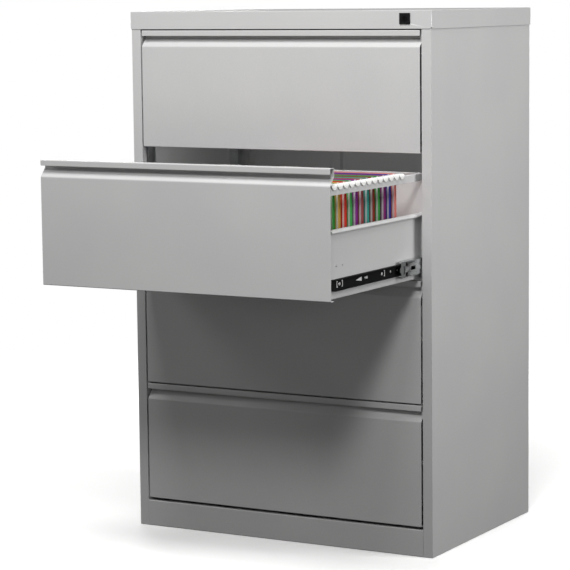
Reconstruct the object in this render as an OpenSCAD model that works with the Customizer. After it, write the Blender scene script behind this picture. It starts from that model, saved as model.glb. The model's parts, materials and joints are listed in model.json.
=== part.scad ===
// Four-drawer lateral filing cabinet in folded steel sheet.
// X runs to the right, Y runs to the back, Z runs up, in millimetres.
// The origin is the centre of the carcass footprint on the floor.

/* [Carcass] */
// Outer width across the top cap
cap_w = 870; // [800:2:960]
// Outer depth across the top cap
cap_d = 600; // [580:2:680]
// Height of the folded skirt of the top cap
cap_h = 45; // [44:1:60]
// Height of the kick plinth
plinth_h = 68; // [64:1:90]
// Thickness of the folded steel sheet
sheet = 1; // [0.8:0.1:1.2]
// Width of each front stile
stile_w = 26; // [24:1:30]

/* [Drawers] */
// Height step from one drawer to the next
drawer_pitch = 311.5; // [310.5:0.5:330]
// Height of a full drawer front
front_h = 308; // [296:0.5:308]
// Amount by which the topmost front is shorter
top_trim = 6; // [4:0.5:10]
// Distance by which the second drawer stands open
open_travel = 467; // [0:1:490]
// Depth of the drawer box behind its front
box_depth = 480; // [440:1:490]
// Height of the low drawer sides
side_h = 163.5; // [120:0.5:200]

/* [Pull recess] */
// Height of the front flange of the pull lip
lip_h = 14; // [10:0.5:16]
// Depth of the pull lip from front to back
lip_depth = 20; // [16:1:24]
// Height of the sloping lead-in below the lip
bevel_h = 21.5; // [16:0.5:28]

/* [Filing] */
// Number of hanging folders in each row
folder_count = 13; // [1:1:14]
// Spacing of the hanging folders
folder_pitch = 28.9; // [24:0.1:30]
// Thickness of one filled hanging folder
folder_t = 13; // [3:0.5:20]
// Height of the hanging rail above the bottom of the drawer
rail_top = 262; // [250:0.5:264]

/* [Slides] */
// Height of the cabinet member of a slide
outer_slide_h = 46; // [44:0.5:50]
// Height of the intermediate member of a slide
mid_slide_h = 39.6; // [38:0.2:40]
// Height of the drawer member of a slide
inner_slide_h = 26.6; // [24:0.2:28]
// Share of the drawer travel taken by the intermediate member
mid_share = 0.25; // [0.2:0.01:0.3]

/* [Hidden] */

// Clearance between pieces that are fastened together
fit_gap = 0.4;

// Overlap that joins two blocks into one piece
bite = 0.5;
small_bite = 0.1;

// Carcass
overhang = 2.5;
cap_x = cap_w / 2;
cap_y = cap_d / 2;
body_x = cap_x - overhang;
inner_x = body_x - sheet - fit_gap;
face_y = -cap_y + 1.6;
stile_x = body_x - stile_w;
return_d = 20;
rear_flange = 22;
floor_flange = 28;
back_y = cap_y - 1.5;
skin_back_y = back_y - sheet - fit_gap;
drawer_count = 4;
foot_gap = 7.5;
first_z = plinth_h + foot_gap;
lid_gap = 3;
cap_bottom_z = first_z + (drawer_count - 1) * drawer_pitch + front_h - top_trim + lid_gap;
cap_top_z = cap_bottom_z + cap_h;
body_top_z = cap_top_z - sheet - fit_gap;
hem_d = 12;
corner_clip = 5;
pan_z = plinth_h - 10;
pan_flange = 20;
plinth_lip = 20;
rib_half = 30;
rib_foot = 16;
rib_crest = 12;
rib_d = 10;

// Floor fixing holes in the bottom flanges
fixing_x = body_x - 14.5;
fixing_y = cap_y - 100;
fixing_r = 5.5;

// Levelling glides and the angle plates that carry them
gusset_z = 30;
gusset_t = 2;
glide_x = body_x - 52.5;
glide_front_y = face_y + 48.4;
glide_rear_y = back_y - 33.5;
glide_r = 19;
glide_clear = 1;
stud_r = 5;
stud_l = 50;

// Lock
lock_x = cap_x - 72.5;
lock_z = cap_bottom_z + 25;
lock_plate_w = 29;
lock_plate_h = 27;
lock_body = 21;
lock_depth = 15;
barrel_r = 8;
cam_reach = 22;
cam_t = 2.6;
bar_x = stile_x + 5.5;
bar_y = face_y + 8.4;
bar_w = 12;
bar_t = 3;
arm_reach = 16;
finger_z = 128;
finger_h = 16;
finger_reach = 1.9;

// Drawers
front_x = stile_x - 4.5;
tray_x = front_x - 14;
bead_x = tray_x + 8;
rail_x = tray_x + 4;
box_front = lip_depth + 0.4;
box_back = box_front + box_depth;

// Slides, nested from the uprights inwards to the tray
slide_z = 35.5;
slide_steel = 1.2;
post_x = stile_x - 1.2;
outer_slide_x = post_x - 0.3;
outer_slide_d = 8.5;
outer_slide_y = face_y + 8.4;
outer_slide_len = 522;
mid_slide_x = outer_slide_x - 2.1;
mid_slide_d = 9.9;
mid_slide_y = face_y + 10.4;
mid_slide_len = 488;
cage_start = 96;
cage_len = 110;
cage_d = 4.6;
cage_inset = 3.6;
notch_y = 20;
notch_z = 7.5;
notch_len = 14;
notch_h = 10;
window_y = 52;
window_len = 24;
window_h = 9.5;
inner_slide_x = tray_x + fit_gap;
inner_slide_d = 12;
inner_slide_len = 476;
rivet_rise = 43.5;
slide_rivet_y = 62;
slide_rivet_step = 132;
tray_rivets = [52, 83];

// Uprights that the slides hook into
post_w = 40;
post_top_z = cap_bottom_z - 3;
front_post_y = face_y + return_d + 2.4;
rear_post_y = outer_slide_y + outer_slide_len - post_w - 2;
slot_w = 5;
slot_h = 10;

// Hanging folders
first_folder = 14.6;
folder_end = 12;
folder_z = 14;
hanger_drop = 6;
hook_half = folder_pitch / 2 - 1.6;
hook_reach = 13;
hook_t = 3;
hook_rise = 7;
hook_drop = 9;
tongue_half = 5;
tab_x = 60;
tab_w = 56;
tab_rise = 16;

function drawer_z(n) = first_z + (drawer_count - n) * drawer_pitch;
function height_of(n) = n == 1 ? front_h - top_trim : front_h;
function open_of(n) = n == 2 ? open_travel : 0;
function drawer_y(n) = face_y - open_of(n);

// Offset outline of a folded sheet, mitred at each bend
function unit(v) = v / norm(v);
function side_of(a, b) = let (d = unit(b - a)) [-d[1], d[0]];
function mitre(a, b, c, t) =
    let (n1 = side_of(a, b), n2 = side_of(b, c), m = unit(n1 + n2)) b + m * t / (m * n1);
function offset_path(p, t) = [
    for (i = [0 : len(p) - 1])
        i == 0 ? p[0] + t * side_of(p[0], p[1])
        : i == len(p) - 1 ? p[i] + t * side_of(p[i - 1], p[i])
        : mitre(p[i - 1], p[i], p[i + 1], t)
];
function reversed(p) = [for (i = [len(p) - 1 : -1 : 0]) p[i]];

module sheet_outline(path, t) {
    polygon(concat(path, reversed(offset_path(path, t))));
}

// Folded sheet whose outline lies in Y and Z and which runs along X
module fold_x(path, x0, x1, t = sheet) {
    translate([x0, 0, 0])
        rotate([90, 0, 90])
            linear_extrude(x1 - x0)
                sheet_outline(path, t);
}

// Folded sheet whose outline lies in X and Z and which runs along Y
module fold_y(path, y0, y1, t = sheet) {
    translate([0, y1, 0])
        rotate([90, 0, 0])
            linear_extrude(y1 - y0)
                sheet_outline(path, t);
}

// Folded sheet whose outline lies in X and Y and which runs along Z
module fold_z(path, z0, z1, t = sheet) {
    translate([0, 0, z0])
        linear_extrude(z1 - z0)
            sheet_outline(path, t);
}

module block(x0, x1, y0, y1, z0, z1) {
    translate([x0, y0, z0])
        cube([x1 - x0, y1 - y0, z1 - z0]);
}

module both_sides() {
    children();
    mirror([1, 0, 0])
        children();
}

// Side panel: outer skin, stile, stile return, rear flange and floor flange
module side_panel() {
    difference() {
        union() {
            fold_z([[stile_x, face_y + return_d], [stile_x, face_y], [body_x, face_y],
                    [body_x, skin_back_y], [body_x - rear_flange, skin_back_y]], 0, body_top_z);
            block(body_x - floor_flange, body_x - sheet / 2,
                  face_y + return_d + 1, skin_back_y - sheet / 2, 0, sheet);
        }
        block(stile_x - 1, stile_x + 4, face_y + sheet, face_y + return_d + 1,
              cap_bottom_z - 2, body_top_z + 1);
        for (y = [-fixing_y, fixing_y])
            translate([fixing_x, y, -1])
                cylinder(r = fixing_r, h = sheet + 2, $fn = 24);
    }
}

// Windows in the right stile return for the catch fingers of the lock bar
module finger_windows() {
    for (n = [1 : drawer_count])
        block(stile_x - 1, stile_x + 3, bar_y - 2, bar_y + bar_t + 2,
              drawer_z(n) + finger_z - 14, drawer_z(n) + finger_z + finger_h + 4);
}

module left_side_panel() {
    color("lightgray")
        mirror([1, 0, 0])
            side_panel();
}

module right_side_panel() {
    color("lightgray")
        difference() {
            side_panel();
            finger_windows();
        }
}

module back_panel() {
    color("lightgray")
        block(-body_x + 0.2, body_x - 0.2, back_y - sheet, back_y, 8, body_top_z);
}

// Hat-section stiffeners welded inside the back panel
module back_ribs() {
    crest = skin_back_y - rib_d;
    color("lightgray")
        for (x = [-cap_w / 6, cap_w / 6])
            translate([x, 0, 0])
                fold_z([[-rib_half, skin_back_y], [-rib_foot, skin_back_y], [-rib_crest, crest],
                        [rib_crest, crest], [rib_foot, skin_back_y], [rib_half, skin_back_y]],
                       plinth_h + 20, cap_bottom_z - 20, -sheet);
}

// Top cap: tray with a folded skirt on all four sides and a hem at the front
module top_cap() {
    lock_hole = lock_body / 2 + 0.5;
    color("lightgray")
        difference() {
            union() {
                block(-cap_x, cap_x, -cap_y, cap_y, cap_top_z - sheet, cap_top_z);
                translate([0, -cap_y + sheet, 0])
                    rotate([90, 0, 0])
                        linear_extrude(sheet)
                            polygon([[-cap_x, cap_bottom_z + corner_clip],
                                     [-cap_x + corner_clip, cap_bottom_z],
                                     [cap_x - corner_clip, cap_bottom_z],
                                     [cap_x, cap_bottom_z + corner_clip],
                                     [cap_x, cap_top_z], [-cap_x, cap_top_z]]);
                both_sides()
                    translate([cap_x - sheet, 0, 0])
                        rotate([90, 0, 90])
                            linear_extrude(sheet)
                                polygon([[-cap_y, cap_bottom_z + corner_clip],
                                         [-cap_y + corner_clip, cap_bottom_z],
                                         [cap_y, cap_bottom_z], [cap_y, cap_top_z],
                                         [-cap_y, cap_top_z]]);
                block(-cap_x, cap_x, cap_y - sheet, cap_y, cap_bottom_z, cap_top_z);
                block(-stile_x + 2, stile_x - 2, -cap_y + sheet / 2, -cap_y + hem_d,
                      cap_bottom_z, cap_bottom_z + sheet);
            }
            block(lock_x - lock_hole, lock_x + lock_hole, -cap_y - 1, -cap_y + sheet + 1,
                  lock_z - lock_hole, lock_z + lock_hole);
        }
}

// Kick plinth between the stiles
module base_plinth() {
    color("lightgray")
        fold_x([[face_y + plinth_lip, plinth_h], [face_y, plinth_h],
                [face_y, 0], [face_y + plinth_lip, 0]],
               -stile_x + fit_gap, stile_x - fit_gap);
}

// Floor of the carcass with a flange turned down at each side
module bottom_pan() {
    color("lightgray")
        fold_y([[inner_x, pan_z - pan_flange], [inner_x, pan_z],
                [-inner_x, pan_z], [-inner_x, pan_z - pan_flange]],
               front_post_y - 1, skin_back_y - sheet - 1);
}

// One upright with a row of slots that the slides hook into
module upright(y) {
    difference() {
        fold_z([[inner_x, y + post_w], [post_x, y + post_w], [post_x, y], [inner_x, y]],
               pan_z + 1, post_top_z);
        for (n = [1 : drawer_count], dz = [-slot_h - 4, 4])
            block(post_x - 1, post_x + sheet + 1, y + slot_w, y + 2 * slot_w,
                  drawer_z(n) + slide_z + dz, drawer_z(n) + slide_z + dz + slot_h);
    }
}

module front_posts() {
    color("silver")
        both_sides()
            upright(front_post_y);
}

module rear_posts() {
    color("silver")
        both_sides()
            upright(rear_post_y);
}

// Angle plates that carry the levelling glides in the four corners
module base_gussets() {
    half = 22;
    color("silver")
        both_sides()
            for (y = [glide_front_y, glide_rear_y])
                difference() {
                    fold_y([[glide_x - half, gusset_z], [inner_x, gusset_z],
                            [inner_x, pan_z - pan_flange - 1]],
                           y - half, y + half, gusset_t);
                    translate([glide_x, y, gusset_z - 1])
                        cylinder(r = stud_r + 0.3, h = gusset_t + 2, $fn = 20);
                }
}

// Pan-head screws that hold the back panel
module carcass_screws() {
    color("silver")
        both_sides()
            for (i = [0 : 4])
                translate([body_x - 10, back_y + 1.4, pan_z + i * (drawer_pitch - 5)])
                    rotate([90, 0, 0])
                        cylinder(r = 4, h = 1.2, $fn = 12);
}

// Square escutcheon and body of the lock
module lock_housing() {
    color("black")
        difference() {
            union() {
                block(lock_x - lock_plate_w / 2, lock_x + lock_plate_w / 2,
                      -cap_y - 2.2, -cap_y - 0.1,
                      lock_z - lock_plate_h / 2, lock_z + lock_plate_h / 2);
                block(lock_x - lock_body / 2, lock_x + lock_body / 2,
                      -cap_y - 1, -cap_y + lock_depth,
                      lock_z - lock_body / 2, lock_z + lock_body / 2);
            }
            translate([lock_x, -cap_y + lock_depth + 5, lock_z])
                rotate([90, 0, 0])
                    cylinder(r = barrel_r + 0.05, h = lock_depth + 15, $fn = 36);
        }
}

// Keyed barrel with its cam lever
module lock_barrel() {
    cam_y = -cap_y + lock_depth + 1;
    face = -cap_y - 2.6;
    color("dimgray")
        difference() {
            union() {
                translate([lock_x, cam_y + cam_t, lock_z])
                    rotate([90, 0, 0])
                        cylinder(r = barrel_r, h = cam_y + cam_t - face, $fn = 36);
                block(lock_x - 5, lock_x + cam_reach, cam_y, cam_y + cam_t, lock_z - 5, lock_z + 5);
            }
            block(lock_x - 0.8, lock_x + 0.8, face - 1, face + 3, lock_z - 4, lock_z + 4);
        }
}

// Vertical lock bar in the right stile with its arm and catch fingers
module lock_bar() {
    color("silver")
        union() {
            block(bar_x, bar_x + bar_w, bar_y, bar_y + bar_t, first_z + finger_z - 28, lock_z);
            block(lock_x + arm_reach, bar_x + bar_w, bar_y, bar_y + bar_t, lock_z - 10, lock_z);
            for (n = [1 : drawer_count])
                block(stile_x - finger_reach, bar_x + bar_w / 2, bar_y, bar_y + bar_t,
                      drawer_z(n) + finger_z, drawer_z(n) + finger_z + finger_h);
        }
}

// Levelling glide: foot, jam nut and stud
module glide(x, y) {
    foot_h = 6;
    nut_h = 9;
    color("dimgray")
        translate([x, y, glide_clear])
            union() {
                cylinder(r = glide_r, h = foot_h, $fn = 24);
                translate([0, 0, foot_h - bite])
                    cylinder(r = 9, h = nut_h, $fn = 6);
                cylinder(r = stud_r, h = stud_l, $fn = 20);
            }
}

module glide_front_left() {
    glide(-glide_x, glide_front_y);
}

module glide_front_right() {
    glide(glide_x, glide_front_y);
}

module glide_rear_left() {
    glide(-glide_x, glide_rear_y);
}

module glide_rear_right() {
    glide(glide_x, glide_rear_y);
}

// Cabinet member of the slides, one channel on each side
module outer_slides(n) {
    zc = drawer_z(n) + slide_z;
    h = outer_slide_h / 2;
    color("silver")
        both_sides()
            fold_y([[outer_slide_x - outer_slide_d, zc - h], [outer_slide_x, zc - h],
                    [outer_slide_x, zc + h], [outer_slide_x - outer_slide_d, zc + h]],
                   outer_slide_y, outer_slide_y + outer_slide_len, slide_steel);
}

// Intermediate member of the slides with its ball cages
module mid_slides(n) {
    zc = drawer_z(n) + slide_z;
    h = mid_slide_h / 2;
    y0 = mid_slide_y - mid_share * open_of(n);
    cage_low = inner_slide_h / 2 + fit_gap;
    cage_high = h - slide_steel + small_bite;
    cage_x = mid_slide_x - cage_inset;
    color("gainsboro")
        both_sides() {
            difference() {
                fold_y([[mid_slide_x - mid_slide_d, zc - h], [mid_slide_x, zc - h],
                        [mid_slide_x, zc + h], [mid_slide_x - mid_slide_d, zc + h]],
                       y0, y0 + mid_slide_len, slide_steel);
                for (z = [-notch_z - notch_h, notch_z])
                    block(mid_slide_x - slide_steel - 1, mid_slide_x + 1,
                          y0 + notch_y, y0 + notch_y + notch_len, zc + z, zc + z + notch_h);
                block(mid_slide_x - slide_steel - 1, mid_slide_x + 1,
                      y0 + window_y, y0 + window_y + window_len,
                      zc - window_h / 2, zc + window_h / 2);
            }
            for (z = [-cage_high, cage_low])
                block(cage_x - cage_d, cage_x, y0 + cage_start, y0 + cage_start + cage_len,
                      zc + z, zc + z + cage_high - cage_low);
        }
}

// Drawer member of the slides, one channel on each side of the tray
module inner_slides(n) {
    zc = drawer_z(n) + slide_z;
    h = inner_slide_h / 2;
    y0 = drawer_y(n) + box_front + 4;
    color("dimgray")
        both_sides()
            fold_y([[inner_slide_x + inner_slide_d, zc + h], [inner_slide_x, zc + h],
                    [inner_slide_x, zc - h], [inner_slide_x + inner_slide_d, zc - h]],
                   y0, y0 + inner_slide_len, slide_steel);
}

// Outer skin of a drawer front with the folded pull recess along its top
module drawer_front(n) {
    h = height_of(n);
    color("lightgray")
        translate([0, drawer_y(n), drawer_z(n)])
            fold_x([[0, h - lip_h], [0, h], [lip_depth, h], [lip_depth, h - lip_depth],
                    [sheet, h - lip_depth - bevel_h], [sheet, sheet], [16, sheet]],
                   -front_x, front_x, -sheet);
}

// Inner pan of a drawer front
module front_liner(n) {
    top = height_of(n) - lip_depth - bevel_h - 1;
    x = tray_x - 2;
    color("lightgray")
        translate([0, drawer_y(n), drawer_z(n)]) {
            fold_x([[sheet + fit_gap, 3], [lip_depth, 3], [lip_depth, top + bevel_h - 4]],
                   -x, x);
            both_sides()
                block(x - sheet, x, sheet + fit_gap, lip_depth - sheet / 2, 3, top);
        }
}

// Tray of a drawer: floor and two low sides with a folded bead along the top
module drawer_tray(n) {
    base = 2;
    bead = side_h - 9.5;
    right = [[tray_x, bead], [bead_x, bead + 1], [bead_x, bead + 5],
             [tray_x + 1, side_h], [tray_x - 4, side_h]];
    left = [for (p = reversed(right)) [-p[0], p[1]]];
    color("lightgray")
        translate([0, drawer_y(n), drawer_z(n)])
            fold_y(concat(left, [[-tray_x, base], [tray_x, base]], right),
                   box_front, box_back);
}

// High back of a drawer with a flange turned to the rear
module drawer_back(n) {
    y = box_back + fit_gap;
    color("lightgray")
        translate([0, drawer_y(n), drawer_z(n)])
            fold_x([[y, 2], [y, rail_top], [y + 12, rail_top]], -rail_x, rail_x, -sheet);
}

// Hanging rails at both sides of a drawer and along its middle
module file_rails(n) {
    low = rail_top - 18.5;
    color("lightgray")
        translate([0, drawer_y(n), drawer_z(n)]) {
            both_sides()
                fold_y([[rail_x, low], [rail_x, rail_top], [rail_x - 5.5, rail_top]],
                       box_front, box_back);
            fold_y([[5, low], [5, rail_top], [-5, rail_top], [-5, low]], box_front, box_back);
        }
}

// Rivet heads on the slides and on the tray sides
module slide_rivets(n) {
    color("silver")
        translate([0, drawer_y(n), drawer_z(n)])
            both_sides() {
                for (y = [slide_rivet_y : slide_rivet_step : slide_rivet_y + 3 * slide_rivet_step])
                    translate([inner_slide_x + slide_steel + small_bite, y, slide_z])
                        rotate([0, 90, 0])
                            cylinder(r = 3.4, h = 1.4, $fn = 10);
                for (y = tray_rivets)
                    translate([tray_x + small_bite, y, slide_z + rivet_rise])
                        rotate([0, 90, 0])
                            cylinder(r = 2.6, h = 1.2, $fn = 10);
            }
}

// Both rows of hanging folders in the second drawer
module folder_rows() {
    translate([0, drawer_y(2) + box_front + first_folder, drawer_z(2)])
        both_sides()
            for (i = [0 : folder_count - 1])
                translate([0, i * folder_pitch, 0])
                    children();
}

module hanging_folders() {
    color("seagreen")
        folder_rows()
            block(folder_end, tray_x - folder_end, -folder_t / 2, folder_t / 2,
                  folder_z, rail_top - hanger_drop);
}

// Hanger bar with a plastic hook over the rail at its outer end
module folder_hangers() {
    color("white")
        folder_rows() {
            block(7, rail_x - 6.5, -hook_t / 2, hook_t / 2,
                  rail_top - hanger_drop + 1, rail_top + hook_rise - 1);
            block(1, 8, -hook_t, hook_t, rail_top + fit_gap, rail_top + hook_rise - 1);
            block(rail_x - hook_reach, rail_x + 0.5 + hook_t, -hook_half, hook_half,
                  rail_top + fit_gap, rail_top + hook_rise);
            block(rail_x + 0.5, rail_x + 0.5 + hook_t, -tongue_half, tongue_half,
                  rail_top - hook_drop, rail_top + 1);
        }
}

// Clear index tabs on the hanger bars
module folder_tabs() {
    color("lightyellow")
        folder_rows()
            block(tab_x, tab_x + tab_w, -1, 1, rail_top + hook_rise - 1 + fit_gap, rail_top + tab_rise);
}

left_side_panel();
right_side_panel();
back_panel();
back_ribs();
top_cap();
base_plinth();
bottom_pan();
front_posts();
rear_posts();
base_gussets();
carcass_screws();
lock_housing();
lock_barrel();
lock_bar();
glide_front_left();
glide_front_right();
glide_rear_left();
glide_rear_right();
outer_slides(1);  // outer_slides_1
outer_slides(2);  // outer_slides_2
outer_slides(3);  // outer_slides_3
outer_slides(4);  // outer_slides_4
mid_slides(1);  // mid_slides_1
mid_slides(2);  // mid_slides_2
mid_slides(3);  // mid_slides_3
mid_slides(4);  // mid_slides_4
inner_slides(1);  // inner_slides_1
inner_slides(2);  // inner_slides_2
inner_slides(3);  // inner_slides_3
inner_slides(4);  // inner_slides_4
drawer_front(1);  // drawer_front_1
drawer_front(2);  // drawer_front_2
drawer_front(3);  // drawer_front_3
drawer_front(4);  // drawer_front_4
front_liner(1);  // front_liner_1
front_liner(2);  // front_liner_2
front_liner(3);  // front_liner_3
front_liner(4);  // front_liner_4
drawer_tray(1);  // drawer_tray_1
drawer_tray(2);  // drawer_tray_2
drawer_tray(3);  // drawer_tray_3
drawer_tray(4);  // drawer_tray_4
drawer_back(1);  // drawer_back_1
drawer_back(2);  // drawer_back_2
drawer_back(3);  // drawer_back_3
drawer_back(4);  // drawer_back_4
file_rails(1);  // file_rails_1
file_rails(2);  // file_rails_2
file_rails(3);  // file_rails_3
file_rails(4);  // file_rails_4
slide_rivets(1);  // slide_rivets_1
slide_rivets(2);  // slide_rivets_2
slide_rivets(3);  // slide_rivets_3
slide_rivets(4);  // slide_rivets_4
hanging_folders();
folder_hangers();
folder_tabs();
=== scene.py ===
import json
import math

import bmesh
import bpy
from mathutils import Matrix, Vector
from mathutils.bvhtree import BVHTree

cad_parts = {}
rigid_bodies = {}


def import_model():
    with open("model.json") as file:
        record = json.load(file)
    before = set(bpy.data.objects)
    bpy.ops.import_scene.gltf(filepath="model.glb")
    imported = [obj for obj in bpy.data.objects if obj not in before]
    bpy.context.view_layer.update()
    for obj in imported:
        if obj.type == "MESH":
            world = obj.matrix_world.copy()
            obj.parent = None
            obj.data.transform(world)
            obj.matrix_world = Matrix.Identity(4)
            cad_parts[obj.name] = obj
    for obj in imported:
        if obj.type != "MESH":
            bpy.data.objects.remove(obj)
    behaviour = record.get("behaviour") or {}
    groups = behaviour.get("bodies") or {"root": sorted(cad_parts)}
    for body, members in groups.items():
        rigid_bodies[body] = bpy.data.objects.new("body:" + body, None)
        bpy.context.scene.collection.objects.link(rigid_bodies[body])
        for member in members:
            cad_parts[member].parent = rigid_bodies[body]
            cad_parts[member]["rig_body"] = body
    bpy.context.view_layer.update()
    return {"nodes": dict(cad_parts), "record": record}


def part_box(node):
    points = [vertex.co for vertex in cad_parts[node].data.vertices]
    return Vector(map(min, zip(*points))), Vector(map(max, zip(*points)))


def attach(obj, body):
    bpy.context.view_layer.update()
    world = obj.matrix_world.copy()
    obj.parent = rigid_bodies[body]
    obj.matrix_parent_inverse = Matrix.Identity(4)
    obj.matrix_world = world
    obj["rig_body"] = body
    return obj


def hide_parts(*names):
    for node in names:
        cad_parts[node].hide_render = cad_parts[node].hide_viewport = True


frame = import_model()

NODES = frame["nodes"]
MM = 0.001
DRAWERS = (1, 2, 3, 4)
SIDE_NAMES = {1: "right", -1: "left"}

# Sheet thicknesses, and the outer radii of their folds
SHEET = 1.0 * MM
SLIDE_SHEET = 1.2 * MM
GUSSET_SHEET = 2.0 * MM
PANEL_BEND = 1.9 * MM
POST_BEND = 1.6 * MM
SLIDE_BEND = 1.8 * MM
GUSSET_BEND = 2.6 * MM
# Width of the bevelled edge of a sheet, whose faces take a lighter copy of the paint as a painted highlight,
# the least angle of a fold, and how far a leaf must reach beside it
EDGE_BREAK = 0.22 * MM
FOLD_ANGLE = math.radians(20)
FOLD_REACH = 2.2 * MM


def body_of(node):
    """Name of the CAD body that a CAD node belongs to."""
    return NODES[node]["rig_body"]


# ---------------------------------------------------------------- materials

def new_material(name, slot_color, **sockets):
    """A Principled material; returns it with its node tree, its shader and its object coordinates."""
    material = bpy.data.materials.new(name)
    material.use_nodes = True
    material.diffuse_color = (*slot_color, 1.0)
    tree = material.node_tree
    shader = tree.nodes["Principled BSDF"]
    for socket, value in sockets.items():
        shader.inputs[socket.replace("_", " ")].default_value = value
    coordinates = tree.nodes.new("ShaderNodeTexCoord")
    return material, tree, shader, coordinates.outputs["Object"]


def noise(tree, vector, scale, detail=2.0, roughness=0.5):
    node = tree.nodes.new("ShaderNodeTexNoise")
    node.inputs["Scale"].default_value = scale
    node.inputs["Detail"].default_value = detail
    node.inputs["Roughness"].default_value = roughness
    tree.links.new(vector, node.inputs["Vector"])
    return node.outputs["Fac"]


def stretched(tree, vector, scale):
    node = tree.nodes.new("ShaderNodeMapping")
    node.inputs["Scale"].default_value = scale
    tree.links.new(vector, node.inputs["Vector"])
    return node.outputs["Vector"]


def ramp(tree, factor, stops):
    """Colour ramp; stops is a list of (position, colour)."""
    node = tree.nodes.new("ShaderNodeValToRGB")
    elements = node.color_ramp.elements
    while len(elements) < len(stops):
        elements.new(0.5)
    for element, (position, color) in zip(elements, stops):
        element.position = position
        element.color = (*color, 1.0)
    tree.links.new(factor, node.inputs["Fac"])
    return node.outputs["Color"]


def remap(tree, factor, low, high):
    node = tree.nodes.new("ShaderNodeMapRange")
    node.inputs["To Min"].default_value = low
    node.inputs["To Max"].default_value = high
    tree.links.new(factor, node.inputs["Value"])
    return node.outputs["Result"]


def mixed(tree, factor, first, second, blend="MIX"):
    """Mixes two colours; each is a socket or a plain colour."""
    node = tree.nodes.new("ShaderNodeMix")
    node.data_type = "RGBA"
    node.blend_type = blend
    for socket, value in ((node.inputs[0], factor), (node.inputs[6], first), (node.inputs[7], second)):
        if isinstance(value, bpy.types.NodeSocket):
            tree.links.new(value, socket)
        elif isinstance(value, float):
            socket.default_value = value
        else:
            socket.default_value = (*value, 1.0)
    return node.outputs[2]


def bump(tree, shader, height, strength, distance, normal=None):
    node = tree.nodes.new("ShaderNodeBump")
    node.inputs["Strength"].default_value = strength
    node.inputs["Distance"].default_value = distance
    tree.links.new(height, node.inputs["Height"])
    if normal:
        tree.links.new(normal, node.inputs["Normal"])
    tree.links.new(node.outputs["Normal"], shader.inputs["Normal"])
    return node.outputs["Normal"]


def shade(color, factor):
    return tuple(min(1.0, channel * factor) for channel in color)


def powder_coat(name, color, roughness=0.46):
    """Fine-textured powder coat: orange peel, a fine grain and faint tone changes."""
    material, tree, shader, place = new_material(name, color, Specular_IOR_Level=0.42)
    grain = noise(tree, place, scale=900, detail=3, roughness=0.65)
    clouds = noise(tree, place, scale=5, detail=3)
    speckle = ramp(tree, grain, [(0.30, shade(color, 0.93)), (0.52, color), (0.74, shade(color, 1.06))])
    tint = ramp(tree, clouds, [(0.3, (0.955, 0.957, 0.96)), (0.7, (1.0, 0.999, 0.996))])
    tree.links.new(mixed(tree, 1.0, speckle, tint, "MULTIPLY"), shader.inputs["Base Color"])
    peel = noise(tree, place, scale=330, detail=1)
    tree.links.new(remap(tree, peel, roughness - 0.07, roughness + 0.07), shader.inputs["Roughness"])
    wavy = bump(tree, shader, peel, strength=0.10, distance=0.6 * MM)
    bump(tree, shader, grain, strength=0.16, distance=0.3 * MM, normal=wavy)
    return material


def plated_steel(name, color, roughness=0.34, grain_axis=(1, 0.02, 1), metallic=1.0):
    """Zinc-plated steel with a fine rolled grain and a faint cloudy passivation."""
    material, tree, shader, place = new_material(name, color, Metallic=metallic)
    grain = noise(tree, stretched(tree, place, grain_axis), scale=1200, detail=3)
    clouds = noise(tree, place, scale=45, detail=3)
    tone = ramp(tree, clouds, [(0.35, shade(color, 0.86)), (0.65, shade(color, 1.08))])
    rolled = ramp(tree, grain, [(0.3, (0.9, 0.9, 0.9)), (0.7, (1.0, 1.0, 1.0))])
    tree.links.new(mixed(tree, 1.0, tone, rolled, "MULTIPLY"), shader.inputs["Base Color"])
    tree.links.new(remap(tree, grain, roughness - 0.1, roughness + 0.1), shader.inputs["Roughness"])
    bump(tree, shader, grain, strength=0.08, distance=0.2 * MM)
    return material


def black_coat(name, color, roughness):
    """Black electro-coated steel with faint rubbing marks along the travel."""
    material, tree, shader, place = new_material(name, color, Specular_IOR_Level=0.12)
    rubbed = noise(tree, stretched(tree, place, (1, 0.03, 1)), scale=500, detail=4)
    tone = ramp(tree, rubbed, [(0.45, color), (0.8, shade(color, 2.2))])
    tree.links.new(tone, shader.inputs["Base Color"])
    tree.links.new(remap(tree, rubbed, roughness - 0.1, roughness + 0.1), shader.inputs["Roughness"])
    bump(tree, shader, rubbed, strength=0.05, distance=0.2 * MM)
    return material


def moulded_plastic(name, color, roughness=0.4, grain=1500, depth=0.06, **sockets):
    """Injection-moulded plastic with a faint spark texture."""
    material, tree, shader, place = new_material(name, color, **sockets)
    texture = noise(tree, place, scale=grain, detail=2)
    tone = ramp(tree, texture, [(0.3, shade(color, 0.94)), (0.7, color)])
    tree.links.new(tone, shader.inputs["Base Color"])
    tree.links.new(remap(tree, texture, roughness - 0.06, roughness + 0.06), shader.inputs["Roughness"])
    bump(tree, shader, texture, strength=depth, distance=0.2 * MM)
    return material


def card(name, color, roughness=0.72):
    """Pressed folder card: short fibres, a soft mottle and a slightly rubbed surface."""
    material, tree, shader, place = new_material(name, color, Specular_IOR_Level=0.25, Sheen_Weight=0.08)
    fibres = noise(tree, stretched(tree, place, (0.25, 1, 1)), scale=700, detail=4, roughness=0.7)
    mottle = noise(tree, place, scale=28, detail=3)
    body = ramp(tree, fibres, [(0.3, shade(color, 0.84)), (0.6, color), (0.85, shade(color, 1.25))])
    worn = ramp(tree, mottle, [(0.3, (0.9, 0.9, 0.9)), (0.7, (1.0, 1.0, 1.0))])
    tree.links.new(mixed(tree, 1.0, body, worn, "MULTIPLY"), shader.inputs["Base Color"])
    tree.links.new(remap(tree, mottle, roughness - 0.08, roughness + 0.06), shader.inputs["Roughness"])
    bump(tree, shader, fibres, strength=0.15, distance=0.2 * MM)
    return material


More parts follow.
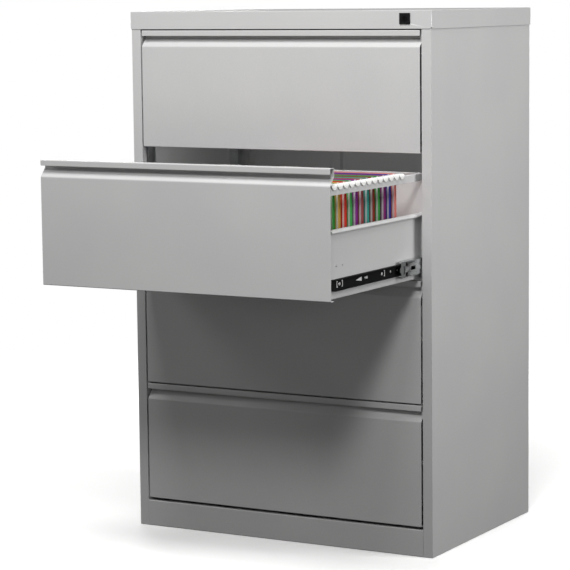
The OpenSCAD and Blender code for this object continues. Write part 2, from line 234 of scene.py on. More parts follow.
def paper_stack(name, color):
    """Edges of a stack of paper: thin light and dark lines across the stack."""
    material, tree, shader, place = new_material(name, color, Specular_IOR_Level=0.2)
    leaves = noise(tree, stretched(tree, place, (0.05, 1, 0.05)), scale=4200, detail=2, roughness=0.6)
    edges = ramp(tree, leaves, [(0.35, shade(color, 0.72)), (0.55, color), (0.8, shade(color, 1.08))])
    tree.links.new(edges, shader.inputs["Base Color"])
    tree.links.new(remap(tree, leaves, 0.7, 0.9), shader.inputs["Roughness"])
    bump(tree, shader, leaves, strength=0.3, distance=0.3 * MM)
    return material


PAINT = (0.56, 0.559, 0.557)
GRAIN_UP = (1, 1, 0.02)
NO_GRAIN = (1, 1, 1)
paint = powder_coat("cabinet_powder_coat", PAINT)
# The same powder coat made lighter, for the bevelled edges of the sheets: a painted highlight
paint_edge_highlight = powder_coat("cabinet_powder_coat_painted_highlight", shade(PAINT, 1.12), roughness=0.38)
zinc = plated_steel("zinc_plate", (0.60, 0.61, 0.62))
zinc_upright = plated_steel("zinc_plate_upright", (0.55, 0.56, 0.57), 0.42, GRAIN_UP)
slide_steel = plated_steel("slide_steel", (0.66, 0.67, 0.68), 0.3)
slide_black = black_coat("slide_black", (0.005, 0.005, 0.0055), 0.68)
bare_mark = plated_steel("slide_mark_steel", (0.80, 0.80, 0.80), 0.5, NO_GRAIN, metallic=0.1)
screw_steel = plated_steel("screw_steel", (0.62, 0.62, 0.63), 0.28, NO_GRAIN)
lock_black = moulded_plastic("lock_black", (0.006, 0.006, 0.007), 0.5, grain=900, depth=0.04,
                             Specular_IOR_Level=0.25)
lock_steel = plated_steel("lock_steel", (0.10, 0.10, 0.105), 0.3, NO_GRAIN)
glide_black = moulded_plastic("glide_black", (0.03, 0.03, 0.032), 0.6)
retainer_grey = moulded_plastic("retainer_grey", (0.13, 0.133, 0.136), 0.5)
# Near-black for the crescent slot on the slide retainers: the black member behind it plus painted shadow,
# laid on as a thin plate
slot_shadow_black = moulded_plastic("slot_shadow_black", (0.01, 0.01, 0.011), 0.55)
hook_white = moulded_plastic("hook_white", (0.88, 0.88, 0.86), 0.32, grain=1200, depth=0.03)
tab_clear = moulded_plastic("tab_clear", (0.93, 0.92, 0.86), 0.15, grain=900, depth=0.02,
                            Transmission_Weight=0.6, IOR=1.46)
label_paper = paper_stack("label_paper", (0.88, 0.87, 0.84))

NODE_SLOT = {part["node"]: part["material_slot"] for part in frame["record"]["subparts"]}


def set_materials(obj, *materials):
    """Gives an object these materials. Clearing would reset its faces' slots, so an empty list is left."""
    slots = obj.data.materials
    if len(slots) > 0:
        slots.clear()
    for material in materials:
        slots.append(material)


# ---------------------------------------------------------------- mesh helpers

def finish_piece(name, bm, body, slot, *materials):
    """Turns a bmesh in the shared frame into a piece that rides on a body."""
    bmesh.ops.recalc_face_normals(bm, faces=bm.faces)
    mesh = bpy.data.meshes.new(name)
    bm.to_mesh(mesh)
    bm.free()
    obj = bpy.data.objects.new(name, mesh)
    bpy.context.scene.collection.objects.link(obj)
    set_materials(obj, *materials)
    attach(obj, body)
    return obj


def smooth(obj, angle):
    """Smooth shading, with edges kept sharp above the angle in degrees."""
    obj.data.polygons.foreach_set("use_smooth", [True] * len(obj.data.polygons))
    obj.data.set_sharp_from_angle(angle=math.radians(angle))


def edge_bevel(obj, width, segments, angle, material=-1):
    """Softens the edges of an object that are sharper than the angle in degrees."""
    modifier = obj.modifiers.new("edge_bevel", "BEVEL")
    modifier.width = width
    modifier.segments = segments
    modifier.limit_method = "ANGLE"
    modifier.angle_limit = math.radians(angle)
    modifier.material = material
    modifier.harden_normals = True
    modifier.miter_outer = "MITER_ARC"


def clean_copy(node):
    """The CAD node's mesh as a bmesh with merged corners and its flat faces joined."""
    same_place, same_plane = 0.005 * MM, math.radians(0.5)
    bm = bmesh.new()
    bm.from_mesh(NODES[node].data)
    bmesh.ops.remove_doubles(bm, verts=bm.verts, dist=same_place)
    bmesh.ops.dissolve_limit(bm, angle_limit=same_plane, verts=bm.verts, edges=bm.edges)
    return bm


def reaches(tree, edge, face, distance):
    """Whether a face still goes on at that distance from the middle of one of its edges."""
    middle = (edge.verts[0].co + edge.verts[1].co) / 2
    inward = face.normal.cross((edge.verts[1].co - edge.verts[0].co).normalized())
    if any(loop.edge == edge and loop.vert == edge.verts[1] for loop in face.loops):
        inward = -inward
    on_surface = 0.02 * MM
    point = middle + inward * distance
    hit = tree.find_nearest(point)
    return hit[0] is not None and (hit[0] - point).length < on_surface


def bent_sheet(node, sheet, bend, material, edge_highlight_material):
    """Stands for a CAD node of folded sheet, with its bends rounded as a press brake leaves them."""
    bm = clean_copy(node)
    tree = BVHTree.FromBMesh(bm)
    weight = bm.edges.layers.float.new("bevel_weight_edge")
    for edge in bm.edges:
        if len(edge.link_faces) != 2:
            continue
        angle = edge.calc_face_angle(0)
        if angle < FOLD_ANGLE:
            continue
        if not all(reaches(tree, edge, face, FOLD_REACH) for face in edge.link_faces):
            continue
        inner = sheet * math.tan(angle / 2)
        edge[weight] = 1.0 if edge.is_convex else max(0.1, (bend - inner) / bend)
    piece = finish_piece(node + "_sheet", bm, body_of(node), NODE_SLOT[node], material, edge_highlight_material)
    modifier = piece.modifiers.new("bends", "BEVEL")
    modifier.width = bend
    modifier.segments = 4
    modifier.limit_method = "WEIGHT"
    modifier.use_clamp_overlap = True
    # The edge bevel's faces take the second material: for painted sheets a lighter copy of the paint, a
    # painted highlight
    edge_bevel(piece, EDGE_BREAK, segments=1, angle=55, material=1)
    smooth(piece, angle=30)
    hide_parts(node)


# ---------------------------------------------------------------- camera and light

def make_camera():
    """Camera a little above the top and to the right of the cabinet, looking back and down."""
    position = Vector((2.9486, -5.4953, 1.4066))
    # Turn to the left, tilt down and roll, in radians
    yaw, pitch, roll = 0.5135, 0.1234, -0.0108
    forward = Vector((-math.sin(yaw) * math.cos(pitch), math.cos(yaw) * math.cos(pitch), -math.sin(pitch)))
    level = Vector((math.cos(yaw), math.sin(yaw), 0))
    up = level.cross(forward)
    right = level * math.cos(roll) + up * math.sin(roll)
    top = up * math.cos(roll) - level * math.sin(roll)
    data = bpy.data.cameras.new("camera")
    data.sensor_width = 36
    data.lens = 149.05
    data.clip_end = 60
    camera = bpy.data.objects.new("camera", data)
    camera.matrix_world = Matrix((
        (right.x, top.x, -forward.x, position.x),
        (right.y, top.y, -forward.y, position.y),
        (right.z, top.z, -forward.z, position.z),
        (0, 0, 0, 1)))
    bpy.context.scene.collection.objects.link(camera)
    bpy.context.scene.camera = camera


def area_light(name, position, target, size, power):
    """Rectangular lamp that only lights: the camera doesn't see it."""
    data = bpy.data.lights.new(name, "AREA")
    data.shape = "RECTANGLE"
    data.size, data.size_y = size
    data.energy = power
    light = bpy.data.objects.new(name, data)
    direction = Vector(target) - Vector(position)
    light.rotation_euler = direction.to_track_quat("-Z", "Y").to_euler()
    light.location = position
    light.visible_camera = False
    bpy.context.scene.collection.objects.link(light)


def make_world():
    """White backdrop for the camera and a weaker even light for everything else."""
    world = bpy.data.worlds.new("studio")
    bpy.context.scene.world = world
    world.use_nodes = True
    tree = world.node_tree
    tree.nodes.clear()
    backdrop = tree.nodes.new("ShaderNodeBackground")
    backdrop.inputs["Strength"].default_value = 1.0
    fill = tree.nodes.new("ShaderNodeBackground")
    fill.inputs["Color"].default_value = (1.0, 0.995, 0.985, 1.0)
    fill.inputs["Strength"].default_value = 0.015
    path = tree.nodes.new("ShaderNodeLightPath")
    mix = tree.nodes.new("ShaderNodeMixShader")
    output = tree.nodes.new("ShaderNodeOutputWorld")
    backdrop.inputs["Color"].default_value = (1.0, 1.0, 1.0, 1.0)
    tree.links.new(path.outputs["Is Camera Ray"], mix.inputs["Fac"])
    tree.links.new(fill.outputs["Background"], mix.inputs[1])
    tree.links.new(backdrop.outputs["Background"], mix.inputs[2])
    tree.links.new(mix.outputs["Shader"], output.inputs["Surface"])


def make_floor():
    """Pale round floor that fades out into the white backdrop, a little below the feet."""
    radius, fade_start, fade_end = 3.4, 1.5, 3.3
    drop = 0.5 * MM
    bm = bmesh.new()
    bmesh.ops.create_circle(bm, cap_ends=True, segments=96, radius=radius)
    mesh = bpy.data.meshes.new("floor")
    bm.to_mesh(mesh)
    bm.free()
    floor = bpy.data.objects.new("floor", mesh)
    floor.location = (0, 0, -drop)
    bpy.context.scene.collection.objects.link(floor)
    pale = (0.90, 0.90, 0.895)
    material, tree, shader, place = new_material("floor_pale", pale, Roughness=0.9, Specular_IOR_Level=0.1)
    tone = noise(tree, place, scale=2, detail=2)
    tree.links.new(ramp(tree, tone, [(0.3, shade(pale, 0.985)), (0.7, pale)]), shader.inputs["Base Color"])
    length = tree.nodes.new("ShaderNodeVectorMath")
    length.operation = "LENGTH"
    tree.links.new(place, length.inputs[0])
    fade = tree.nodes.new("ShaderNodeMapRange")
    fade.interpolation_type = "SMOOTHSTEP"
    fade.inputs["From Min"].default_value = fade_start
    fade.inputs["From Max"].default_value = fade_end
    fade.inputs["To Min"].default_value = 1.0
    fade.inputs["To Max"].default_value = 0.0
    tree.links.new(length.outputs["Value"], fade.inputs["Value"])
    tree.links.new(fade.outputs["Result"], shader.inputs["Alpha"])
    shader.inputs["Emission Color"].default_value = (1.0, 1.0, 0.995, 1.0)
    shader.inputs["Emission Strength"].default_value = 0.22
    set_materials(floor, material)
    floor.visible_diffuse = False
    floor.visible_glossy = False


make_camera()
make_world()
make_floor()
# Lamps: place, the point each looks at, width and height, and power in watts
AIM = (0, -0.3, 0.9)
BACK_AIM = (0, 0.2, 0.8)
SQUARE = (0.9, 0.9)
LIGHTS = {
    "key": ((1.53, -3.22, 3.32), AIM, (0.69, 0.69), 63.4),
    "overhead_front": ((0, -1.71, 3.5), AIM, (1.9, 0.9), 75.7),
    "side_high": ((2.56, 0.15, 2.4), AIM, SQUARE, 25.2),
    "side_low": ((2.94, 0.22, 1.16), AIM, SQUARE, 25.7),
    "front_right_low": ((2.59, -1.79, 1.16), AIM, SQUARE, 6.5),
    "front_floor": ((1.2, -3.0, 0.5), AIM, (0.9, 0.5), 5.9),
    "left_high": ((-2.25, -1.6, 2.4), AIM, SQUARE, 9.9),
    "left_low": ((-2.59, -1.79, 1.16), AIM, SQUARE, 6.8),
    "back_left": ((-2.6, 2.8, 1.15), BACK_AIM, (1.4, 1.0), 70),
    "back_middle": ((-0.2, 3.5, 1.15), BACK_AIM, (1.2, 1.0), 55),
    "inside_glow": ((0, -0.268, 1.0), (0, 0.3, 0.99), (0.72, 0.012), 0.46),
}
for light_name, settings in LIGHTS.items():
    area_light(light_name, *settings)
bpy.context.scene.view_settings.view_transform = "Standard"


# ---------------------------------------------------------------- sheet metal

DRAWER_SHEETS = ("drawer_front", "front_liner", "drawer_tray", "drawer_back", "file_rails")
SHEET_NODES = ["left_side_panel", "right_side_panel", "top_cap", "base_plinth", "bottom_pan", "back_ribs"]
SHEET_NODES += [f"{part}_{n}" for part in DRAWER_SHEETS for n in DRAWERS]
SLIDE_METALS = {"outer_slides": slide_steel, "mid_slides": slide_steel, "inner_slides": slide_black}
for node_name in SHEET_NODES:
    bent_sheet(node_name, SHEET, PANEL_BEND, paint, paint_edge_highlight)
for node_name in ("front_posts", "rear_posts"):
    bent_sheet(node_name, SHEET, POST_BEND, zinc_upright, zinc_upright)
bent_sheet("base_gussets", GUSSET_SHEET, GUSSET_BEND, zinc, zinc)
for n in DRAWERS:
    for part, metal in SLIDE_METALS.items():
        bent_sheet(f"{part}_{n}", SLIDE_SHEET, SLIDE_BEND, metal, metal)


# ---------------------------------------------------------------- hanging folders

FOLDER_COUNT = 13
FOLDER_T = 13 * MM
INNER_X = 12 * MM
CARD = 0.8 * MM
# Width of the pale strip along each vertical edge of a folder's front leaf: a painted highlight where light
# catches the edge
HIGHLIGHT_STRIP = 5 * MM
HOOK_GAP = 3.2 * MM
HOOK_T = 3.2 * MM
INNER_HOOK_T = 3.0 * MM
HANG_LOW, HANG_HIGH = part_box("hanging_folders")
HANGER_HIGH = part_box("folder_hangers")[1]
TAB_LOW, TAB_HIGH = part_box("folder_tabs")
RAIL_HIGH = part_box("file_rails_2")[1]
TAB_WIDTH = 56 * MM
FIRST_Y = HANG_LOW.y + FOLDER_T / 2
PITCH = (HANG_HIGH.y - HANG_LOW.y - FOLDER_T) / (FOLDER_COUNT - 1)

# Card colours from the front folder to the rear one
CARD_COLORS = {
    "lime": (0.46, 0.47, 0.07),
    "green": (0.035, 0.26, 0.035), "ochre": (0.50, 0.30, 0.06), "red": (0.52, 0.03, 0.015),
    "leaf": (0.06, 0.36, 0.09), "purple": (0.22, 0.02, 0.22), "brick": (0.30, 0.07, 0.07),
    "teal": (0.035, 0.29, 0.24), "maroon": (0.21, 0.025, 0.012), "pine": (0.035, 0.26, 0.045),
    "plum": (0.21, 0.02, 0.15), "indigo": (0.035, 0.025, 0.24), "salmon": (0.62, 0.20, 0.17),
}
CARD_ORDER = list(CARD_COLORS)
leaf_cards = {name: card("card_" + name, color) for name, color in CARD_COLORS.items()}
# Lighter copies of the card colours for those edge strips: painted highlight
highlight_cards = {name: card("card_painted_highlight_" + name, tuple(0.45 * c + 0.5 for c in color))
              for name, color in CARD_COLORS.items()}


def wobble(seed, x, z):
    """Slow waviness of a card leaf, the same on every run."""
    return math.sin(7.1 * seed + 23 * x + 2.0 * math.sin(9 * z + seed)) * math.cos(3.3 * seed + 17 * z)


def pocket_outline(seed, x, inset):
    """Closed outline in Y and Z of one hanging pocket at a place along its length."""
    top = HANGER_HIGH.z + 0.4 * MM
    bottom = HANG_LOW.z
    hem = 1.9 * MM
    half = FOLDER_T / 2
    neck = top - 12 * MM
    sway, free_length = 0.9 * MM, 60 * MM
    shape = [(0.7 * hem, top - 0.3 * MM), (hem, top - 1.5 * MM), (hem, neck), (0.45 * half, top - 18 * MM),
             (0.78 * half, top - 25 * MM), (0.96 * half, top - 36 * MM), (half, top - 70 * MM),
             (half, top - 130 * MM), (0.98 * half, bottom + 34 * MM), (0.9 * half, bottom + 14 * MM),
             (0.62 * half, bottom + 4 * MM), (0.22 * half, bottom + 0.6 * MM)]
    outline = []
    for side in (-1, 1):
        points = shape if side < 0 else list(reversed(shape))
        for y, z in points:
            free = min(1.0, max(0.0, (neck - z) / free_length))
            y = side * (y + sway * free * wobble(seed + side, x, z) - inset)
            z = z - inset if z > (top + bottom) / 2 else z + inset
            outline.append((y, z))
    return outline


def folder_mesh(seed, sign, y_centre, lean):
    """Closed mesh of a folder: leaves, with the vertical edge strips of the front leaf painted pale as a
    painted highlight, and gussets folded inwards at both ends.
    """
    bm = bmesh.new()
    x_in, x_out = INNER_X, HANG_HIGH.x
    spans, recess_depth = 10, 1.5 * MM
    places = [x_in, x_in + HIGHLIGHT_STRIP]
    places += [x_in + (x_out - x_in) * t / spans for t in range(1, spans)]
    places += [x_out - HIGHLIGHT_STRIP, x_out]

    def ring(x, inset):
        shift = lean * (x - (x_in + x_out) / 2)
        return [bm.verts.new((sign * x, y_centre + shift + y, z)) for y, z in pocket_outline(seed, x, inset)]

    def bridge(first, second, highlight_leaf=False):
        for i in range(len(first)):
            j = (i + 1) % len(first)
            face = bm.faces.new((first[i], first[j], second[j], second[i]))
            # The front leaf's end strips take the lighter card: painted highlight
            face.material_index = 1 if highlight_leaf and i < len(first) // 2 - 1 else 0
            face.smooth = True

    rings = [ring(x, 0) for x in places]
    for i in range(len(rings) - 1):
        bridge(rings[i], rings[i + 1], i in (0, len(rings) - 2))
    for outer, x, inward in ((rings[-1], x_out, -1), (rings[0], x_in, 1)):
        lip = ring(x, CARD)
        bridge(outer, lip)
        recess = ring(x + inward * recess_depth, CARD)
        bridge(lip, recess)
        gusset(bm, recess, sign * inward)
    return bm


def gusset(bm, recess, inward):
    """End panel of a folder, creased inwards along its middle."""
    deepest = 5 * MM
    half = len(recess) // 2
    crease = []
    for i in range(half):
        a, b = recess[i].co, recess[-1 - i].co
        depth = inward * min(deepest, 0.45 * (a - b).length)
        crease.append(bm.verts.new(((a.x + b.x) / 2 + depth, (a.y + b.y) / 2, (a.z + b.z) / 2)))
    for i in range(half - 1):
        bm.faces.new((recess[i], recess[i + 1], crease[i + 1], crease[i]))
        bm.faces.new((recess[-1 - i], crease[i], crease[i + 1], recess[-2 - i]))
    bm.faces.new((recess[0], crease[0], recess[-1]))
    bm.faces.new((recess[half - 1], recess[half], crease[-1]))


def strap(bm, path, thickness, widths, y_centre):
    """Bent strap in X and Z: a closed ribbon that follows the path, each point with its own width in Y."""
    rows = []
    for i, (x, z) in enumerate(path):
        before, after = path[max(0, i - 1)], path[min(len(path) - 1, i + 1)]
        direction = Vector((after[0] - before[0], after[1] - before[1])).normalized()
        nx, nz = -direction.y * thickness / 2, direction.x * thickness / 2
        w = widths[i] / 2
        rows.append([bm.verts.new((x + nx * a, y_centre + w * b, z + nz * a))
                     for a, b in ((1, -1), (1, 1), (-1, 1), (-1, -1))])
    for first, second in zip(rows, rows[1:]):
        for i in range(4):
            j = (i + 1) % 4
            bm.faces.new((first[i], first[j], second[j], second[i]))
    bm.faces.new(rows[0])
    bm.faces.new(list(reversed(rows[-1])))


def folder_hanger(index, sign, y_centre):
    """Twin steel bars of a folder with moulded white hooks over the rails."""
    rail_x, rail_top = RAIL_HIGH.x, RAIL_HIGH.z
    bar_start, bar_end, bar_z = 7 * MM, rail_x - 6.5 * MM, rail_top + 0.8 * MM
    bar_height, bar_thickness, bar_offset = 9 * MM, 1.2 * MM, 0.9 * MM
    bars = bmesh.new()
    for offset in (-bar_offset, bar_offset):
        strap(bars, [(sign * bar_start, bar_z), (sign * bar_end, bar_z)], bar_height, [bar_thickness] * 2,
              y_centre + offset)
    bar = finish_piece(f"hanger_bars_{SIDE_NAMES[sign]}_{index}", bars, "drawer_2", "zinc_plate", zinc)
    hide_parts("folder_hangers")
    hooks = bmesh.new()
    over = rail_top + 2.4 * MM
    tip = rail_x + 2 * MM
    wide = PITCH - HOOK_GAP
    outer = [(rail_x - 15 * MM, over + 1.8 * MM), (rail_x - 9 * MM, over + 2.2 * MM),
             (rail_x - 2 * MM, over + 2.2 * MM), (rail_x + 0.8 * MM, over + 1.4 * MM),
             (rail_x + 1.9 * MM, over - 1.2 * MM), (tip, over - 4 * MM), (tip, over - 7 * MM),
             (tip, over - 8.8 * MM)]
    widths = [5 * MM, 0.8 * wide, wide, wide, wide, 0.78 * wide, 0.55 * wide, 0.3 * wide]
    strap(hooks, [(sign * x, z) for x, z in outer], HOOK_T, widths, y_centre)
    inner = [(1.2 * MM, over - 0.1 * MM), (4 * MM, over + 1.6 * MM), (12 * MM, over + 1.6 * MM)]
    strap(hooks, [(sign * x, z) for x, z in inner], INNER_HOOK_T, [5 * MM, 6 * MM, 4 * MM], y_centre)
    hook = finish_piece(f"hanger_hooks_{SIDE_NAMES[sign]}_{index}", hooks, "drawer_2", "hanger_plastic",
                        hook_white)
    edge_bevel(hook, 0.7 * MM, segments=3, angle=30)
    smooth(hook, angle=50)
    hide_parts("folder_hangers")


def index_tab(index, sign, y_centre):
    """Clear tab with a blank paper label, clipped to the folder's front hem."""
    x1 = TAB_HIGH.x
    x0 = x1 - TAB_WIDTH
    middle, height = (TAB_LOW.z + TAB_HIGH.z) / 2, TAB_HIGH.z - TAB_LOW.z
    tab_t, label_t, margin = 1.6 * MM, 0.5 * MM, 3 * MM
    label_y = y_centre - 0.95 * MM
    bm = bmesh.new()
    strap(bm, [(sign * x0, middle), (sign * x1, middle)], height, [tab_t] * 2, y_centre)
    tab = finish_piece(f"index_tab_{SIDE_NAMES[sign]}_{index}", bm, "drawer_2", "tab_plastic", tab_clear)
    edge_bevel(tab, 0.6 * MM, segments=2, angle=40)
    smooth(tab, angle=50)
    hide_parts("folder_tabs")
    bm = bmesh.new()
    strap(bm, [(sign * (x0 + margin), middle), (sign * (x1 - margin), middle)], height - margin,
          [label_t] * 2, label_y)
    label = finish_piece(f"tab_label_{SIDE_NAMES[sign]}_{index}", bm, "drawer_2", "folder_card", label_paper)
    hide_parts("folder_tabs")


def make_folders():
    """Two rows of hanging folders, each folder with its hanger and index tab."""
    left_seed, stagger, most_lean = 40, 0.3 * MM, 0.004
    for sign in (1, -1):
        for index in range(FOLDER_COUNT):
            seed = index + (0 if sign > 0 else left_seed)
            y_centre = FIRST_Y + index * PITCH + stagger * math.sin(2.7 * seed)
            lean = most_lean * math.sin(1.9 * seed + 1)
            color = CARD_ORDER[index if sign > 0 else (index * 5 + 3) % FOLDER_COUNT]
            bm = folder_mesh(seed, sign, y_centre, lean)
            folder = finish_piece(f"folder_{SIDE_NAMES[sign]}_{index + 1}", bm, "drawer_2", "folder_card",
                                  leaf_cards[color], highlight_cards[color])
            smooth(folder, angle=40)
            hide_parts("hanging_folders")
            folder_hanger(index + 1, sign, y_centre)
            index_tab(index + 1, sign, y_centre)


make_folders()


# ---------------------------------------------------------------- slide details

MARK_PROUD = 0.15 * MM


def prism(bm, outline, x0, x1):
    """Closed plate between two X places; the outline is a list of (y, z)."""
    low = [bm.verts.new((x0, y, z)) for y, z in outline]
    high = [bm.verts.new((x1, y, z)) for y, z in outline]
    for i in range(len(outline)):
        j = (i + 1) % len(outline)
        bm.faces.new((low[i], low[j], high[j], high[i]))
    bm.faces.new(list(reversed(low)))
    bm.faces.new(high)


def disc(y, z, radius):
    """Outline of a round dot."""
    count = 14
    return [(y + radius * math.cos(2 * math.pi * i / count), z + radius * math.sin(2 * math.pi * i / count))
            for i in range(count)]


def rectangle(y, z, length, height):
    """Outline of a bar that starts at y."""
    low, high = z - height / 2, z + height / 2
    return [(y, low), (y + length, low), (y + length, high), (y, high)]


def arrow(y, z, length, tip_drop, half_tail):
    """Outline of an arrow head that points to the front, its tip a little below the middle."""
    return [(y, z - tip_drop), (y + length, z - half_tail), (y + length, z + half_tail)]


def bracket_mark(y, z, opening):
    """Outline of a stamped square bracket; opening is +1 when it opens to the rear."""
    bar, reach, half = 2.4 * MM, 5 * MM, 7.5 * MM
    points = [(0, -half), (reach, -half), (reach, -half + bar), (bar, -half + bar),
              (bar, half - bar), (reach, half - bar), (reach, half), (0, half)]
    return [(y + opening * a, z + b) for a, b in points]


def slide_marks(n):
    """Stamped locating marks where the black coat is worn bright, on both drawer members."""
    # How far the rails stand outside the tray, the gap to the slide, and from the drawer's face to the tray
    rail_proud, slide_gap, front_depth = 4 * MM, 0.4 * MM, 20.4 * MM
    low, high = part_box(f"inner_slides_{n}")
    tray_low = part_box(f"drawer_tray_{n}")[0]
    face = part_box(f"file_rails_{n}")[1].x - rail_proud + slide_gap + SLIDE_SHEET
    front = tray_low.y - front_depth
    z = (low.z + high.z) / 2
    outlines = [bracket_mark(front + 51 * MM, z, 1), disc(front + 65.5 * MM, z, 4 * MM),
                bracket_mark(front + 81 * MM, z, -1),
                arrow(front + 146 * MM, z, length=30 * MM, tip_drop=1 * MM, half_tail=5 * MM),
                disc(front + 203 * MM, z, 3.4 * MM), disc(front + 281 * MM, z, 3.6 * MM),
                bracket_mark(front + 297 * MM, z, -1), disc(front + 362 * MM, z, 2.6 * MM),
                rectangle(front + 415 * MM, z, length=12 * MM, height=4 * MM)]
    bm = bmesh.new()
    for sign in (1, -1):
        for outline in outlines:
            prism(bm, outline, sign * face, sign * (face + MARK_PROUD))
    finish_piece(f"slide_marks_{n}", bm, f"drawer_{n}", "slide_steel", bare_mark)


def slide_retainer(n):
    """Moulded grey end plate on the front of both intermediate members, with a thin black crescent for the
    slot at its end: partly the black inner member seen through it, partly painted shadow.
    """
    low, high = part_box(f"mid_slides_{n}")
    z = (low.z + high.z) / 2
    half = (high.z - low.z) / 2
    front, rear, chamfer = low.y - 1.4 * MM, low.y + 20 * MM, 3 * MM
    tongue, tongue_half, tongue_round = front - 7 * MM, 5.5 * MM, 2 * MM
    waist, waist_depth, ear = 7.5 * MM, 1 * MM, 2 * MM
    plate_low, plate_high = high.x + 0.05 * MM, high.x + 0.45 * MM
    shadow_low, shadow_high = high.x + 0.46 * MM, high.x + 0.7 * MM
    upper = [(rear + waist_depth, waist), (rear + ear, waist + 4 * MM), (rear, half), (front + chamfer, half),
             (front, half - chamfer), (front, tongue_half + 3 * MM), (tongue + tongue_round, tongue_half),
             (tongue, tongue_half - tongue_round)]
    plate = [(y, z + rise) for y, rise in upper] + [(y, z - rise) for y, rise in reversed(upper)]
    steps, bulge, step_rise, shadow_width = 10, 3 * MM, 2 * MM, 6 * MM
    shadow_y, shadow_z = low.y + 9 * MM, z - 1 * MM
    curve = [(shadow_y + bulge * math.sin(t / steps * math.pi), shadow_z + (t - steps / 2) * step_rise)
             for t in range(steps + 1)]
    band = curve + [(y + shadow_width, height) for y, height in reversed(curve)]
    plates = bmesh.new()
    slot_shadows = bmesh.new()
    for sign in (1, -1):
        prism(plates, plate, sign * plate_low, sign * plate_high)
        prism(slot_shadows, band, sign * shadow_low, sign * shadow_high)
    retainer = finish_piece(f"slide_retainer_{n}", plates, f"mid_slides_{n}", "glide_plastic", retainer_grey)
    edge_bevel(retainer, 0.12 * MM, segments=1, angle=40)
    # Black crescent plate standing for the shaded slot: painted shadow
    finish_piece(f"slide_slot_shadow_{n}", slot_shadows, f"mid_slides_{n}", "glide_plastic", slot_shadow_black)


# ---------------------------------------------------------------- turned parts

def islands(node):
    """Boxes of the separate bodies in a CAD node, in a fixed order."""
    bm = clean_copy(node)
    bm.verts.index_update()
    bm.verts.ensure_lookup_table()
    seen = set()
    boxes = []
    for start in bm.verts:
        if start.index in seen:
            continue
        seen.add(start.index)
        stack, places = [start], []
        while stack:
            vert = stack.pop()
            places.append(vert.co.copy())
            for edge in vert.link_edges:
                other = edge.other_vert(vert)
                if other.index not in seen:
                    seen.add(other.index)
                    stack.append(other)
        boxes.append((Vector(min(p[i] for p in places) for i in range(3)),
                      Vector(max(p[i] for p in places) for i in range(3))))
    bm.free()
    return sorted(boxes, key=lambda box: tuple(round(c, 5) for c in box[0]))


def turned(bm, base, axis, profile, segments):
    """Body turned about an axis; the profile is a list of (distance along the axis, radius)."""
    axis = Vector(axis)
    side = axis.orthogonal().normalized()
    across = axis.cross(side)
    rings = []
    for along, radius in profile:
        middle = base + axis * along
        count = segments if radius > 0 else 1
        rings.append([bm.verts.new(middle + radius * (math.cos(2 * math.pi * i / count) * side
                                                      + math.sin(2 * math.pi * i / count) * across))
                      for i in range(count)])
    for first, second in zip(rings, rings[1:]):
        for i in range(max(len(first), len(second))):
            corners = [first[i % len(first)], first[(i + 1) % len(first)],
                       second[(i + 1) % len(second)], second[i % len(second)]]
            bm.faces.new(list(dict.fromkeys(corners)))
    return rings


def rivet_heads(node, body):
    """Domed heads over the plain rivets of a CAD node."""
    bm = bmesh.new()
    for low, high in islands(node):
        sign = 1 if low.x > 0 else -1
        height, radius = high.x - low.x, (high.y - low.y) / 2
        base = (low + high) / 2
        base.x = low.x if sign > 0 else high.x
        dome = [(0, 0), (0, radius), (0.35 * height, radius), (0.7 * height, 0.86 * radius),
                (0.92 * height, 0.55 * radius), (height, 0)]
        turned(bm, base, (sign, 0, 0), dome, 16)
    piece = finish_piece(node + "_heads", bm, body, NODE_SLOT[node], screw_steel)
    smooth(piece, angle=60)
    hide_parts(node)


def cross_recess(bm, centre, axis, rim, depth):
    """Closes the ring of a screw head with a cross-shaped recess."""
    side = axis.orthogonal().normalized()
    across = axis.cross(side)
    arm, half, taper = 2.1 * MM, 0.55 * MM, 0.6
    plan = [(arm, half), (half, half), (half, arm), (-half, arm), (-half, half), (-arm, half),
            (-arm, -half), (-half, -half), (-half, -arm), (half, -arm), (half, -half), (arm, -half)]
    top = [bm.verts.new(centre + side * a + across * b) for a, b in plan]
    floor = [bm.verts.new(centre - axis * depth + taper * (side * a + across * b)) for a, b in plan]
    edges = [bm.edges.get((rim[i], rim[(i + 1) % len(rim)])) for i in range(len(rim))]
    edges += [bm.edges.new((top[i], top[(i + 1) % len(top)])) for i in range(len(top))]
    bmesh.ops.triangle_fill(bm, use_beauty=True, edges=edges)
    for i in range(len(top)):
        j = (i + 1) % len(top)
        bm.faces.new((top[i], top[j], floor[j], floor[i]))
    bm.faces.new(floor)


def back_screws():
    """Pan-head screws with a cross recess, one piece for each screw of the back panel."""
    for index, (low, high) in enumerate(islands("carcass_screws"), 1):
        bm = bmesh.new()
        axis = Vector((0, 1, 0))
        base = (low + high) / 2
        base.y = low.y
        height, radius = high.y - low.y, (high.x - low.x) / 2
        profile = [(0, 0), (0, radius), (0.4 * height, radius), (0.75 * height, 0.93 * radius),
                   (0.95 * height, 0.8 * radius), (height, 0.7 * radius)]
        rings = turned(bm, base, axis, profile, 28)
        cross_recess(bm, base + axis * height, axis, rings[-1], 0.6 * height)
        piece = finish_piece(f"back_screw_{index}", bm, "cabinet", "screw_steel", screw_steel)
        smooth(piece, angle=40)
        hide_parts("carcass_screws")


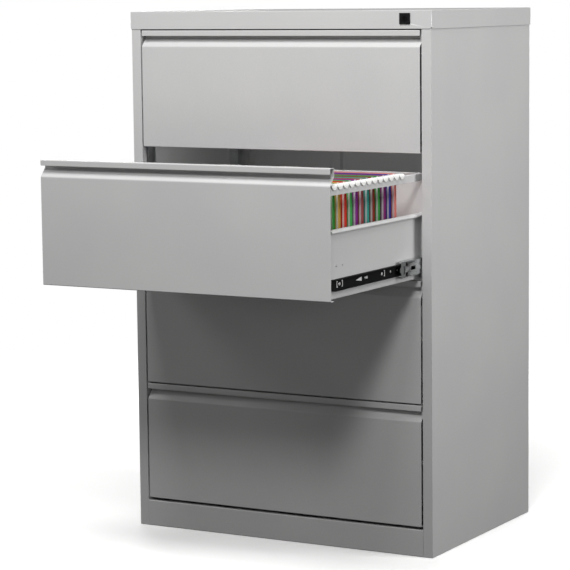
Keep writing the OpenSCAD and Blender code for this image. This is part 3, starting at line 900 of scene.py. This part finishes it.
def glide_pieces():
    """Levelling glides: moulded foot, hexagonal jam nut and threaded stud."""
    up = (0, 0, 1)
    foot_r, nut_r, nut_edge_r = 19 * MM, 9 * MM, 8.1 * MM
    nut_low, nut_high, nut_chamfer = 6.5 * MM, 14.5 * MM, 0.6 * MM
    pitch, thread, root, first_thread = 1.5 * MM, 5.0 * MM, 4.3 * MM, 14.6 * MM
    foot_shape = [(0, 0), (0, 17.4 * MM), (1.2 * MM, foot_r), (4.4 * MM, foot_r), (5.5 * MM, 18.2 * MM),
                  (6 * MM, 15 * MM), (6.4 * MM, 0)]
    nut_shape = [(nut_low, 0), (nut_low, nut_edge_r), (nut_low + nut_chamfer, nut_r),
                 (nut_high - nut_chamfer, nut_r), (nut_high, nut_edge_r), (nut_high, 0)]
    for corner in ("front_left", "front_right", "rear_left", "rear_right"):
        node = "glide_" + corner
        low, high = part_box(node)
        base = Vector(((low.x + high.x) / 2, (low.y + high.y) / 2, low.z))
        length = high.z - low.z
        foot = bmesh.new()
        turned(foot, base, up, foot_shape, 48)
        piece = finish_piece(f"{node}_foot", foot, node, "glide_plastic", glide_black)
        smooth(piece, angle=40)
        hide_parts(node)
        metal = bmesh.new()
        turned(metal, base, up, nut_shape, 6)
        stud_shape = [(nut_low, 0), (nut_low, root)]
        for turn in range(int((length - 15 * MM) / pitch)):
            start = first_thread + turn * pitch
            stud_shape += [(start, root), (start + 0.4 * pitch, thread), (start + 0.6 * pitch, thread)]
        stud_shape += [(length - 0.4 * MM, root), (length, 0.8 * root), (length, 0)]
        turned(metal, base, up, stud_shape, 24)
        piece = finish_piece(f"{node}_stud", metal, node, "zinc_plate", zinc)
        smooth(piece, angle=25)
        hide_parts(node)


for n in DRAWERS:
    slide_marks(n)
    slide_retainer(n)
    rivet_heads(f"slide_rivets_{n}", f"drawer_{n}")
back_screws()
glide_pieces()


# ---------------------------------------------------------------- CAD nodes that stay

# Material and edge width of each
KEPT_NODES = {
    "back_panel": (paint, 0.3 * MM),
    "lock_housing": (lock_black, 0.5 * MM),
    "lock_barrel": (lock_steel, 0.3 * MM),
    "lock_bar": (zinc, 0.4 * MM),
}
for node_name, (metal, width) in KEPT_NODES.items():
    set_materials(NODES[node_name], metal)
    edge_bevel(NODES[node_name], width, segments=2, angle=50)
